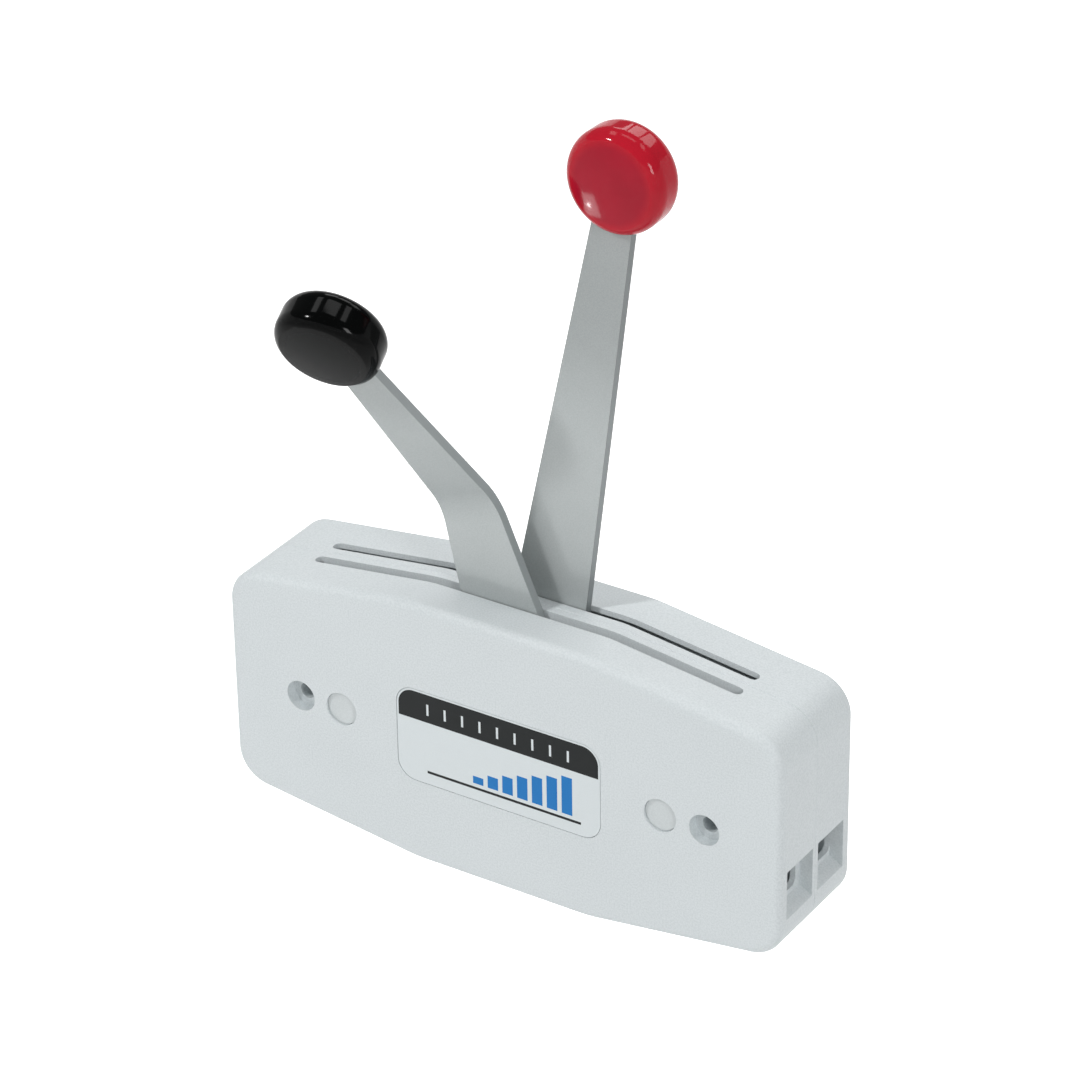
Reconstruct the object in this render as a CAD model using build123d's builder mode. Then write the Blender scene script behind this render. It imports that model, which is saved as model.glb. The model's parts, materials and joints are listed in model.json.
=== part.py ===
"""Side-mount twin-lever boat control: gear-shift lever in front, throttle lever behind, and their cable gear.

Frame: the origin is the centre of the two mounting bolts on the mounting face. +X runs along the housing
towards the cable windows, -Y stands out from the mounting face towards the helm, +Z is up.
A gap is a distance out from the parting plane, which halves the housing between its two shells.
"""
import math
import os
from dataclasses import dataclass

from build123d import *

os.makedirs("parts", exist_ok=True)

# Housing
length = 260.0
depth = 54.0
middle_height = 121.5
end_height = 98.3
flat_length = 82.7
end_radius = 15.7
crown_radius = 60.0
wall = 2.5
front_round = 3.6
back_round = 1.2
parting_groove = 0.25

# Lever slots
slot_length = 200.0
slot_width = 5.0
slot_rail_height = 3.0
lever_gap = 6.3
blade_thickness = 4.0

# Mounting bolts and shell screws, in line along the middle of the housing
mount_pitch = 191.0
mount_hole = 7.0
mount_counterbore = 13.5
mount_counterbore_depth = 5.0
mount_tube = 12.0
shell_screw_pitch = 151.0
shell_screw = 4.0
shell_screw_clearance = 0.3
shell_screw_head = 8.0
shell_screw_head_height = 3.0
shell_screw_seat_gap = 19.0
shell_screw_length = 33.0
shell_boss = 10.0
boss_wall = 1.8
cap_diameter = 14.4
cap_thickness = 2.8
cap_recess = 1.0
cap_clearance = 0.1
cap_dish = 0.8
web_thickness = 2.0

# Label pocket on the front face
label_length = 96.5
label_height = 43.5
label_drop = 0.5
label_corner = 8.5
label_pocket_depth = 0.6
label_thickness = 0.5
label_clearance = 0.25

# Cable windows in the end wall
window_top = -10.5
window_sill = -27.0
window_ramp_top = -29.0
window_ramp_angle = 30.0
window_recess = 6.0
window_outer_gap = 22.1
window_web = 4.0
window_jamb = 3.0
window_corner = 3.0

# Pivot stack, listed from the parting plane outwards
pivot_height = 28.0
shaft_diameter = 12.0
running_clearance = 0.05
loose_clearance = 0.15
separator_thickness = 3.0
bush_diameter = 20.0
bush_flange = 30.0
bush_flange_thickness = 4.0
friction_disc = 29.0
outer_disc_thickness = 2.0
thrust_washer = 27.0
thrust_washer_thickness = 1.5
shaft_head = 22.0
shaft_head_flats = 18.0
shaft_head_thickness = 5.0
shaft_thread = 10.0
shaft_thread_length = 7.0
nut_flats = 17.0
nut_thickness = 5.0
spring_washer_thickness = 0.9
spring_washer_cone = 0.5
socket_wall = 3.0
socket_grip = 4.0

# Lever travel and stops
travel = 55.0
stop_radius = 45.0
stop_post = 9.0
stop_clearance = 0.3
stop_spigot = 4.0

# Cable arm of each lever, its pin and its rod end
arm_length = 46.0
arm_end_radius = 8.0
pin_diameter = 6.0
pin_head = 9.0
pin_head_thickness = 1.0
rod_end_barrel = 12.0
rod_end_width = 9.4
rod_end_tube = 9.0
rod_end_reach = 20.0
rod_thread = 5.0
rod_thread_depth = 11.0
side_play = 0.3
clip_thickness = 0.8
clip_diameter = 10.0
clip_groove = 4.6
clip_mouth = 4.0
pin_tail = 1.2

# Cable clamps
cable_height = -20.0
cable_diameter = 8.1
saddle_setback = 4.5
saddle_length = 10.0
strap_width = 9.0
strap_thickness = 1.8
strap_reach = 11.2
clamp_screw = 3.0
clamp_screw_spread = 8.6
clamp_screw_head = 5.2
clamp_screw_head_height = 2.0
clamp_screw_length = 14.0

# Blades: the shift lever is bent once towards the front, the throttle lever is straight
shift_lean = -18.0
shift_hub_radius = 20.2
shift_bend_reach = 77.3
shift_bend_half_width = 13.3
shift_bend_angle = 29.0
shift_bend_radius = 30.0
shift_knob_reach = 103.4
shift_knob_half_width = 6.8
throttle_lean = 9.9
throttle_hub_radius = 18.1
throttle_knob_reach = 226.6
throttle_knob_half_width = 7.6

# Knobs
knob_diameter = 43.0
knob_face = 35.6
knob_band_half = 2.8
knob_rim_radius = 6.8
knob_crown_rise = 1.2
knob_edge_round = 1.3
tang_overlap = 5.0
tang_clearance = 0.05

# Worked-out sizes
middle = depth / 2
inner_gap = middle - wall
blade_inner = lever_gap - blade_thickness / 2
blade_outer = lever_gap + blade_thickness / 2
flange_outer = blade_outer + bush_flange_thickness
disc_outer = flange_outer + outer_disc_thickness
washer_outer = disc_outer + thrust_washer_thickness
head_outer = washer_outer + shaft_head_thickness
spring_height = 2 * (spring_washer_thickness + spring_washer_cone)
nut_inner = washer_outer + spring_height
nut_outer = nut_inner + nut_thickness
shaft_rear_gap = inner_gap - loose_clearance
cable_gap = blade_outer + side_play + rod_end_width / 2
saddle_end = length / 2 - window_recess - wall - saddle_setback
FRONT, REAR = 1, -1


@dataclass(frozen=True)
class Lever:
    """One hand lever: its side of the parting plane, its lean at rest and its blade sizes."""

    name: str
    side: int
    lean: float
    hub_radius: float
    knob_half_width: float
    knob_reach: float
    bend_reach: float = 0.0
    bend_half_width: float = 0.0
    bend_angle: float = 0.0
    bend_radius: float = 0.0


shift = Lever("shift", FRONT, shift_lean, shift_hub_radius, shift_knob_half_width, shift_knob_reach,
              shift_bend_reach, shift_bend_half_width, shift_bend_angle, shift_bend_radius)
throttle = Lever("throttle", REAR, throttle_lean, throttle_hub_radius, throttle_knob_half_width,
                 throttle_knob_reach)


def outward(side, gap, lean=0.0, height=pivot_height):
    """Plane facing out from the parting plane, its y axis along a lever that leans towards +X."""
    turn = math.radians(lean)
    return Plane(origin=(0, -(middle + side * gap), height),
                 x_dir=(side * math.cos(turn), 0, -side * math.sin(turn)),
                 z_dir=(0, -side, 0))


def from_front(gap, side=FRONT):
    """Plane with x along the housing and y up, at a gap on one side, looking along -Y."""
    return Plane.XZ.offset(middle + side * gap)


def save(part, name):
    """Label a finished piece and write it as its own STEP file."""
    part.label = name
    export_step(part, f"parts/{name}.step")


def housing_outline(inset=0.0):
    """Barrel-shaped side outline of the housing, drawn inset from its outer face."""
    half_end, half_middle = end_height / 2, middle_height / 2
    with BuildSketch() as outline:
        with BuildLine():
            Polyline((length / 2, -half_end), (length / 2, half_end), (flat_length / 2, half_middle),
                     (-flat_length / 2, half_middle), (-length / 2, half_end), (-length / 2, -half_end),
                     (-flat_length / 2, -half_middle), (flat_length / 2, -half_middle), close=True)
        make_face()
        fillet(vertices().filter_by(lambda v: abs(v.X) > length / 2 - 1), radius=end_radius)
        fillet(vertices().filter_by(lambda v: abs(v.Y) > half_middle - 0.01), radius=crown_radius)
        if inset:
            offset(amount=-inset)
    return outline.sketch


def half_shell(side):
    """One moulded half of the housing with what both halves share."""
    with BuildPart() as shell:
        with BuildSketch(from_front(0)):
            add(housing_outline())
        extrude(amount=side * middle)
        outer_face = faces().sort_by(Axis.Y)[0 if side == FRONT else -1]
        parting_face = faces().sort_by(Axis.Y)[-1 if side == FRONT else 0]
        fillet(outer_face.edges(), radius=front_round if side == FRONT else back_round)
        chamfer(parting_face.edges(), length=parting_groove)
        with BuildSketch(from_front(0)):
            add(housing_outline(wall))
        extrude(amount=side * inner_gap, mode=Mode.SUBTRACT)
        # Rail that stiffens the strip between the two slots
        with BuildSketch(from_front(0)):
            add(housing_outline(wall))
            add(housing_outline(wall + slot_rail_height), mode=Mode.SUBTRACT)
            with Locations((0, middle_height / 2)):
                Rectangle(slot_length + 4 * slot_width, middle_height - end_height + 4 * wall,
                          mode=Mode.INTERSECT)
        extrude(amount=side * (lever_gap - slot_width / 2))
        # Tubes for the mounting bolts, bosses for the shell screws, and the webs that tie them to the end wall
        with BuildSketch(from_front(0)):
            with GridLocations(mount_pitch, 0, 2, 1):
                Circle(mount_tube / 2)
            with GridLocations(shell_screw_pitch, 0, 2, 1):
                Circle(shell_boss / 2)
            with GridLocations((shell_screw_pitch + length) / 2 - wall, 0, 2, 1):
                Rectangle((length - shell_screw_pitch) / 2 - wall, web_thickness)
        extrude(amount=side * inner_gap)
        # Posts that stop the blades and hold the separator between them
        with BuildSketch(from_front(separator_thickness / 2, side)):
            with Locations(*stop_points):
                Circle(stop_post / 2)
        extrude(amount=side * (inner_gap - separator_thickness / 2))
        # Box round the cable window
        with BuildSketch(from_front(0)):
            add(housing_outline(wall / 2))
            with Locations((length / 2 - window_recess - wall, window_top + wall)):
                Rectangle(length, middle_height, align=(Align.MIN, Align.MAX), mode=Mode.INTERSECT)
        extrude(amount=side * (inner_gap + wall / 2))
        # Saddle that the cable lies in
        with BuildSketch(from_front(0)):
            add(housing_outline(wall / 2))
            with Locations((saddle_end, cable_height)):
                Rectangle(saddle_length, middle_height, align=(Align.MAX, Align.MAX), mode=Mode.INTERSECT)
        extrude(amount=side * (inner_gap + wall / 2))
        with BuildSketch(Plane.YZ.offset(saddle_end)):
            with Locations((-(middle + side * cable_gap), cable_height)):
                Circle(cable_diameter / 2)
        extrude(amount=-saddle_length, mode=Mode.SUBTRACT)
        with Locations(*[Location((saddle_end - saddle_length / 2, -(middle + side * gap), cable_height))
                         for gap in clamp_screw_gaps]):
            Hole(clamp_screw / 2, depth=clamp_screw_length - strap_thickness)
        # Recess with its ramp, then the opening in its back wall
        foot = window_ramp_top - 2 * window_recess * math.tan(math.radians(window_ramp_angle))
        with BuildSketch(from_front(window_web / 2, side)):
            with BuildLine():
                Polyline((length / 2 - window_recess, window_top), (length / 2 + window_recess, window_top),
                         (length / 2 + window_recess, foot), (length / 2 - window_recess, window_ramp_top),
                         close=True)
            make_face()
        extrude(amount=side * (window_outer_gap - window_web / 2), mode=Mode.SUBTRACT)
        opening_width = window_outer_gap - window_web / 2 - window_jamb
        opening_height = window_top - window_sill
        with BuildSketch(Plane.YZ.offset(length / 2 - window_recess)):
            with Locations((-(middle + side * (window_outer_gap - opening_width / 2)),
                            window_sill + opening_height / 2)):
                RectangleRounded(opening_width, opening_height, window_corner)
        extrude(amount=-2 * wall, mode=Mode.SUBTRACT)
        # Lever slot
        with BuildSketch(Plane.XY.offset(end_height / 2 - 2 * wall)):
            with Locations((0, -(middle + side * lever_gap))):
                SlotOverall(slot_length, slot_width)
        extrude(amount=middle_height / 2, mode=Mode.SUBTRACT)
    return shell.part


def ring(side, gap, thickness, outer, inner):
    """Flat ring on the pivot axis, from a gap outwards."""
    with BuildPart() as piece:
        with BuildSketch(outward(side, gap)):
            Circle(outer / 2)
            Circle(inner / 2, mode=Mode.SUBTRACT)
        extrude(amount=thickness)
    return piece.part


def tangent_point(radius, half_width, reach):
    """Where the line from a blade corner touches the hub circle, on the +x side."""
    angle = math.asin(radius / math.hypot(half_width, reach)) - math.atan2(half_width, reach)
    return radius * math.cos(angle), radius * math.sin(angle)


def blade_corners(lever, clearance=0.0):
    """Corners of a blade's +x edge from its bend, where it has one, to its tip, seen square to its hub."""
    tang = lever.knob_reach + tang_overlap
    tip_height = lever.bend_reach + (tang + clearance) * math.cos(math.radians(lever.bend_angle))
    bend = [(lever.bend_half_width + clearance, lever.bend_reach)] if lever.bend_angle else []
    return [*bend, (lever.knob_half_width + clearance, tip_height)]


def stop_offset(lever):
    """Angle between a lever's centre line and the stop post that its edge meets."""
    tangent_x, tangent_y = tangent_point(lever.hub_radius, *blade_corners(lever)[0])
    reach = lever.hub_radius + stop_post / 2 + stop_clearance
    return math.asin(reach / stop_radius) - math.atan2(tangent_y, tangent_x)


def blade_outline(lever, clearance=0.0):
    """Tapered blade of a lever as seen square to its hub."""
    corners = blade_corners(lever, clearance)
    side_points = [tangent_point(lever.hub_radius, *corners[0]), *corners]
    with BuildSketch() as outline:
        with BuildLine():
            Polyline(*side_points, *[(-x, y) for x, y in reversed(side_points)], close=True)
        make_face()
    return outline.sketch


def blade_edge_view(lever, clearance=0.0):
    """Edge-on outline of a lever: x outwards from its middle, y along it; bent once where it has a bend."""
    half = blade_thickness / 2 + clearance
    foot = -arm_length - arm_end_radius
    tilt = math.radians(lever.bend_angle)
    tang = lever.knob_reach + tang_overlap + clearance
    shift_up = half * math.tan(tilt / 2)
    tip_x, tip_y = tang * math.sin(tilt), lever.bend_reach + tang * math.cos(tilt)
    across_x, across_y = half * math.cos(tilt), half * math.sin(tilt)
    far_side = [(-half, lever.bend_reach + shift_up)] if lever.bend_angle else []
    near_side = [(half, lever.bend_reach - shift_up)] if lever.bend_angle else []
    with BuildSketch() as outline:
        with BuildLine():
            Polyline((-half, foot), *far_side, (tip_x - across_x, tip_y + across_y),
                     (tip_x + across_x, tip_y - across_y), *near_side, (half, foot), close=True)
        make_face()
        if lever.bend_angle:
            corners = vertices().filter_by(lambda v: abs(v.Y - lever.bend_reach) < half).sort_by(Axis.X)
            fillet(corners[0], radius=lever.bend_radius + blade_thickness)
            inner_corner = vertices().filter_by(lambda v: abs(v.Y - lever.bend_reach) < half).sort_by(Axis.X)[-1]
            fillet(inner_corner, radius=lever.bend_radius)
    return outline.sketch


def edge_plane(lever):
    """Plane through the pivot that shows a lever edge-on, x outwards and y along the lever."""
    hub = outward(lever.side, lever_gap, lever.lean)
    return Plane(origin=hub.origin, x_dir=hub.z_dir, z_dir=hub.z_dir.cross(hub.y_dir))


def knob_plane(lever):
    """Plane at the middle of a lever's knob, square to the blade there, y along the blade."""
    edge = edge_plane(lever)
    tilt = math.radians(lever.bend_angle)
    centre = edge.from_local_coords((lever.knob_reach * math.sin(tilt),
                                     lever.bend_reach + lever.knob_reach * math.cos(tilt), 0))
    normal = edge.x_dir * math.cos(tilt) - edge.y_dir * math.sin(tilt)
    return Plane(origin=centre, x_dir=outward(lever.side, 0, lever.lean).x_dir, z_dir=normal)


def pin_plane(lever, gap):
    """Plane facing outwards at the cable pin of a lever, x along the housing towards the windows."""
    centre = outward(lever.side, gap, lever.lean).from_local_coords((0, -arm_length, 0))
    return Plane(origin=centre, x_dir=(1, 0, 0), z_dir=(0, -lever.side, 0))


def make_lever(lever):
    """Pressed blade with its hub hole and, below the hub, its cable arm."""
    with BuildPart() as blade:
        with BuildSketch(edge_plane(lever)):
            add(blade_edge_view(lever))
        extrude(amount=lever.hub_radius + blade_thickness, both=True)
        with BuildSketch(outward(lever.side, lever_gap, lever.lean)):
            Circle(lever.hub_radius)
            with Locations((0, -arm_length)):
                Circle(arm_end_radius)
            make_hull()
            add(blade_outline(lever))
            Circle(bush_diameter / 2, mode=Mode.SUBTRACT)
            with Locations((0, -arm_length)):
                Circle(pin_diameter / 2, mode=Mode.SUBTRACT)
        extrude(amount=lever.bend_reach + lever.knob_reach, both=True, mode=Mode.INTERSECT)
    return blade.part


def make_bush(lever):
    """Flanged hub bush, pressed into the blade and turning on the shaft."""
    with BuildPart() as bush:
        with BuildSketch(outward(lever.side, blade_inner)):
            Circle(bush_diameter / 2)
        extrude(amount=blade_thickness)
        with BuildSketch(outward(lever.side, blade_outer)):
            Circle(bush_flange / 2)
        extrude(amount=bush_flange_thickness)
        with BuildSketch(outward(lever.side, blade_inner)):
            Circle(shaft_diameter / 2 + running_clearance)
        extrude(amount=blade_thickness + bush_flange_thickness, mode=Mode.SUBTRACT)
    return bush.part


def tang_room(lever):
    """Room that a knob leaves for the blade."""
    with BuildPart() as room:
        with BuildSketch(edge_plane(lever)):
            add(blade_edge_view(lever, tang_clearance))
        extrude(amount=lever.hub_radius + blade_thickness, both=True)
        with BuildSketch(outward(lever.side, lever_gap, lever.lean)):
            add(blade_outline(lever, tang_clearance))
        extrude(amount=lever.bend_reach + lever.knob_reach, both=True, mode=Mode.INTERSECT)
    return room.part


def make_knob(lever):
    """Turned barrel knob with crowned faces, slotted from below for the blade's tang."""
    place = knob_plane(lever)
    with BuildPart() as knob:
        with BuildSketch(Plane(origin=place.origin, x_dir=place.x_dir, z_dir=-place.y_dir)):
            with BuildLine():
                Line((knob_diameter / 2, 0), (knob_diameter / 2, knob_band_half))
                CenterArc((knob_diameter / 2 - knob_rim_radius, knob_band_half), knob_rim_radius, 0, rim_angle)
                CenterArc((0, knob_crown_half - crown_sphere), crown_sphere, 90, -crown_angle)
                Polyline((0, knob_crown_half), (0, 0), (knob_diameter / 2, 0))
            make_face()
            fillet(vertices().sort_by(Axis.X)[-3], radius=knob_edge_round)
            mirror(about=Plane.XZ)
        revolve(axis=Axis(place.origin, place.z_dir))
        add(tang_room(lever), mode=Mode.SUBTRACT)
    return knob.part


def make_pin(lever):
    """Headed cable pin through the arm, grooved for its clip."""
    barrel_outer = blade_outer + side_play + rod_end_width
    groove = barrel_outer + side_play
    tip = groove + clip_thickness + pin_tail
    with BuildPart() as pin:
        with BuildSketch(pin_plane(lever, blade_inner - pin_head_thickness)):
            Circle(pin_head / 2)
        extrude(amount=pin_head_thickness)
        with BuildSketch(pin_plane(lever, blade_inner)):
            Circle(pin_diameter / 2)
        extrude(amount=tip - blade_inner)
        with BuildSketch(pin_plane(lever, groove)):
            Circle(pin_diameter / 2)
            Circle(clip_groove / 2, mode=Mode.SUBTRACT)
        extrude(amount=clip_thickness, mode=Mode.SUBTRACT)
    return pin.part


def make_clip(lever):
    """Open retaining clip in the groove of the cable pin."""
    groove = blade_outer + rod_end_width + 2 * side_play
    with BuildPart() as clip:
        with BuildSketch(pin_plane(lever, groove)):
            Circle(clip_diameter / 2)
            Circle(clip_groove / 2, mode=Mode.SUBTRACT)
            Rectangle(clip_mouth, clip_diameter, align=(Align.CENTER, Align.MAX), mode=Mode.SUBTRACT)
        extrude(amount=clip_thickness)
    return clip.part


def make_rod_end(lever):
    """Swivelling end that takes the cable's threaded rod, pointing at the cable clamp."""
    inner = blade_outer + side_play
    with BuildPart() as rod_end:
        with BuildSketch(pin_plane(lever, inner)):
            Circle(rod_end_barrel / 2)
        extrude(amount=rod_end_width)
        centre = pin_plane(lever, cable_gap).origin
        aim = (Vector(saddle_end - saddle_length / 2, centre.Y, cable_height) - centre).normalized()
        with BuildSketch(Plane(origin=centre, z_dir=aim)):
            Circle(rod_end_tube / 2)
        extrude(amount=rod_end_reach)
        with BuildSketch(Plane(origin=centre + aim * rod_end_reach, z_dir=aim)):
            Circle(rod_thread / 2)
        extrude(amount=-rod_thread_depth, mode=Mode.SUBTRACT)
        with BuildSketch(pin_plane(lever, inner)):
            Circle(pin_diameter / 2 + running_clearance)
        extrude(amount=rod_end_width, mode=Mode.SUBTRACT)
    return rod_end.part


def make_strap(side):
    """Bent metal strap that holds a cable down in its saddle."""
    start = saddle_end - (saddle_length - strap_width) / 2
    with BuildPart() as strap:
        with BuildSketch(Plane.YZ.offset(start)):
            with Locations((-(middle + side * cable_gap), cable_height)):
                Rectangle(2 * strap_reach, strap_thickness, align=(Align.CENTER, Align.MIN))
                Circle(cable_diameter / 2 + strap_thickness)
                Circle(cable_diameter / 2, mode=Mode.SUBTRACT)
                Rectangle(4 * cable_diameter, 2 * cable_diameter, align=(Align.CENTER, Align.MAX),
                          mode=Mode.SUBTRACT)
        extrude(amount=-strap_width)
        with Locations(*[Location((saddle_end - saddle_length / 2, -(middle + side * gap),
                                   cable_height + strap_thickness)) for gap in clamp_screw_gaps]):
            Hole(clamp_screw / 2)
    return strap.part


# Points that several pieces share
stop_angle = math.radians(travel) + max(stop_offset(lever) for lever in (shift, throttle))
stop_points = [(x * stop_radius * math.sin(stop_angle), pivot_height + stop_radius * math.cos(stop_angle))
               for x in (-1, 1)]
clamp_screw_gaps = (cable_gap - clamp_screw_spread, cable_gap + clamp_screw_spread)
rim_angle = math.degrees(math.acos(1 - (knob_diameter - knob_face) / 2 / knob_rim_radius))
knob_crown_half = knob_band_half + knob_rim_radius * math.sin(math.radians(rim_angle)) + knob_crown_rise
crown_sphere = ((knob_face / 2) ** 2 + knob_crown_rise ** 2) / (2 * knob_crown_rise)
crown_angle = math.degrees(math.asin(knob_face / 2 / crown_sphere))


with BuildPart() as front_shell:
    add(half_shell(FRONT))
    # Thicker ends of the bolt tubes and screw bosses, where bolt heads and caps sit
    with BuildSketch(from_front(middle - mount_counterbore_depth - boss_wall)):
        with GridLocations(mount_pitch, 0, 2, 1):
            Circle(mount_counterbore / 2 + boss_wall)
    extrude(amount=mount_counterbore_depth + boss_wall - wall / 2)
    with BuildSketch(from_front(shell_screw_seat_gap - boss_wall)):
        with GridLocations(shell_screw_pitch, 0, 2, 1):
            Circle(cap_diameter / 2 + cap_clearance + boss_wall)
    extrude(amount=inner_gap + wall / 2 - shell_screw_seat_gap + boss_wall)
    # Socket that keeps the flatted shaft head from turning
    with BuildSketch(from_front(head_outer - socket_grip)):
        with Locations((0, pivot_height)):
            Circle(shaft_head / 2 + loose_clearance + socket_wall)
    extrude(amount=inner_gap + wall / 2 - head_outer + socket_grip)
    with BuildSketch(from_front(head_outer - socket_grip)):
        with Locations((0, pivot_height)):
            Circle(shaft_head / 2 + loose_clearance)
            Rectangle(shaft_head_flats + 2 * loose_clearance, 2 * shaft_head, mode=Mode.INTERSECT)
    extrude(amount=socket_grip, mode=Mode.SUBTRACT)
    # Bolt holes with their counterbores, then the stepped screw holes
    with BuildSketch(from_front(0)):
        with GridLocations(mount_pitch, 0, 2, 1):
            Circle(mount_hole / 2)
        with GridLocations(shell_screw_pitch, 0, 2, 1):
            Circle(shell_screw / 2 + shell_screw_clearance)
    extrude(amount=middle, mode=Mode.SUBTRACT)
    with BuildSketch(from_front(middle)):
        with GridLocations(mount_pitch, 0, 2, 1):
            Circle(mount_counterbore / 2)
    extrude(amount=-mount_counterbore_depth, mode=Mode.SUBTRACT)
    with BuildSketch(from_front(shell_screw_seat_gap)):
        with GridLocations(shell_screw_pitch, 0, 2, 1):
            Circle(shell_screw_head / 2 + shell_screw_clearance)
    extrude(amount=middle - shell_screw_seat_gap, mode=Mode.SUBTRACT)
    with BuildSketch(from_front(middle)):
        with GridLocations(shell_screw_pitch, 0, 2, 1):
            Circle(cap_diameter / 2 + cap_clearance)
    extrude(amount=-cap_recess - cap_thickness, mode=Mode.SUBTRACT)
    # Label pocket, and the holes in the stop posts for the separator's spigots
    with BuildSketch(from_front(middle)):
        with Locations((0, -label_drop)):
            RectangleRounded(label_length, label_height, label_corner)
    extrude(amount=-label_pocket_depth, mode=Mode.SUBTRACT)
    with BuildSketch(from_front(separator_thickness / 2)):
        with Locations(*stop_points):
            Circle(stop_spigot / 2 + loose_clearance)
    extrude(amount=separator_thickness, mode=Mode.SUBTRACT)
save(front_shell.part, "front_shell")

with BuildPart() as rear_shell:
    add(half_shell(REAR))
    # Hexagonal socket that holds the nut, with the shaft's end in the hole behind it
    with BuildSketch(from_front(nut_outer - socket_grip, REAR)):
        with Locations((0, pivot_height)):
            Circle(nut_flats / 2 / math.cos(math.pi / 6) + loose_clearance + socket_wall)
    extrude(amount=-(inner_gap + wall / 2 - nut_outer + socket_grip))
    with BuildSketch(from_front(nut_outer - socket_grip, REAR)):
        with Locations((0, pivot_height)):
            RegularPolygon(nut_flats / 2 + loose_clearance, 6, major_radius=False)
    extrude(amount=-socket_grip, mode=Mode.SUBTRACT)
    with BuildSketch(from_front(nut_outer, REAR)):
        with Locations((0, pivot_height)):
            Circle(shaft_thread / 2 + loose_clearance)
    extrude(amount=-(inner_gap - nut_outer), mode=Mode.SUBTRACT)
    # Bolt holes through the mounting face and blind holes for the shell screws
    with BuildSketch(from_front(0)):
        with GridLocations(mount_pitch, 0, 2, 1):
            Circle(mount_hole / 2)
    extrude(amount=-middle, mode=Mode.SUBTRACT)
    with BuildSketch(from_front(0)):
        with GridLocations(shell_screw_pitch, 0, 2, 1):
            Circle(shell_screw / 2)
    extrude(amount=-(shell_screw_length - shell_screw_seat_gap + 2 * loose_clearance), mode=Mode.SUBTRACT)
    # Spigots through the separator
    with BuildSketch(from_front(separator_thickness / 2, REAR)):
        with Locations(*stop_points):
            Circle(stop_spigot / 2)
    extrude(amount=2 * separator_thickness - 2 * loose_clearance)
save(rear_shell.part, "rear_shell")

with BuildPart() as shell_screws:
    with BuildSketch(from_front(shell_screw_seat_gap)):
        with GridLocations(shell_screw_pitch, 0, 2, 1):
            Circle(shell_screw / 2)
    extrude(amount=-shell_screw_length)
    with BuildSketch(from_front(shell_screw_seat_gap)):
        with GridLocations(shell_screw_pitch, 0, 2, 1):
            Circle(shell_screw_head / 2)
    extrude(amount=shell_screw_head_height)
save(shell_screws.part, "shell_screws")

with BuildPart() as screw_caps:
    with BuildSketch(from_front(middle - cap_recess)):
        with GridLocations(shell_screw_pitch, 0, 2, 1):
            Circle(cap_diameter / 2)
    extrude(amount=-cap_thickness)
    # Each cap's face is dished: a large ball takes its middle out
    cap_ball = ((cap_diameter / 2) ** 2 + cap_dish ** 2) / (2 * cap_dish)
    with Locations(*[Location((x * shell_screw_pitch / 2, -(2 * middle - cap_recess - cap_dish + cap_ball), 0))
                     for x in (-1, 1)]):
        Sphere(cap_ball, mode=Mode.SUBTRACT)
save(screw_caps.part, "screw_caps")

with BuildPart() as label_plate:
    with BuildSketch(from_front(middle - label_pocket_depth)):
        with Locations((0, -label_drop)):
            RectangleRounded(label_length - 2 * label_clearance, label_height - 2 * label_clearance,
                             label_corner - label_clearance)
    extrude(amount=label_thickness)
save(label_plate.part, "label_plate")

with BuildPart() as pivot_shaft:
    shoulder_end = nut_inner - shaft_thread_length + nut_thickness
    with BuildSketch(outward(FRONT, -shoulder_end)):
        Circle(shaft_diameter / 2)
    extrude(amount=shoulder_end + washer_outer)
    with BuildSketch(outward(FRONT, -shaft_rear_gap)):
        Circle(shaft_thread / 2)
    extrude(amount=shaft_rear_gap - shoulder_end)
    with BuildSketch(outward(FRONT, washer_outer)):
        Circle(shaft_head / 2)
        Rectangle(shaft_head_flats, 2 * shaft_head, mode=Mode.INTERSECT)
    extrude(amount=shaft_head_thickness)
save(pivot_shaft.part, "pivot_shaft")

with BuildPart() as pivot_nut:
    with BuildSketch(outward(REAR, nut_inner)):
        RegularPolygon(nut_flats / 2, 6, major_radius=False)
        Circle(shaft_thread / 2, mode=Mode.SUBTRACT)
    extrude(amount=nut_thickness)
save(pivot_nut.part, "pivot_nut")

with BuildPart() as spring_washers:
    inner, outer = shaft_diameter / 2 + loose_clearance, thrust_washer / 2
    with BuildSketch(Plane(origin=outward(REAR, washer_outer).origin, x_dir=(1, 0, 0), z_dir=(0, 0, 1))):
        with BuildLine():
            Polyline((inner, 0), (outer, spring_washer_cone), (outer, spring_height / 2),
                     (inner, spring_washer_thickness), close=True)
        make_face()
        with BuildLine():
            Polyline((inner, spring_height), (outer, spring_height - spring_washer_cone),
                     (outer, spring_height / 2), (inner, spring_height - spring_washer_thickness), close=True)
        make_face()
    revolve(axis=Axis(outward(REAR, washer_outer).origin, (0, 1, 0)))
save(spring_washers.part, "spring_washers")

with BuildPart() as separator_plate:
    with BuildSketch(from_front(-separator_thickness / 2)):
        with Locations((0, pivot_height)):
            Circle(friction_disc / 2)
        with Locations(*stop_points):
            Circle(stop_post / 2 + wall)
        make_hull()
        with Locations((0, pivot_height)):
            Circle(shaft_diameter / 2 + loose_clearance, mode=Mode.SUBTRACT)
        with Locations(*stop_points):
            Circle(stop_spigot / 2 + loose_clearance, mode=Mode.SUBTRACT)
    extrude(amount=separator_thickness)
save(separator_plate.part, "separator_plate")

shaft_hole = shaft_diameter + 2 * loose_clearance
with BuildPart() as inner_friction_discs:
    for side in (FRONT, REAR):
        add(ring(side, separator_thickness / 2, blade_inner - separator_thickness / 2, friction_disc, shaft_hole))
save(inner_friction_discs.part, "inner_friction_discs")

with BuildPart() as outer_friction_discs:
    for side in (FRONT, REAR):
        add(ring(side, flange_outer, outer_disc_thickness, friction_disc, shaft_hole))
save(outer_friction_discs.part, "outer_friction_discs")

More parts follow.
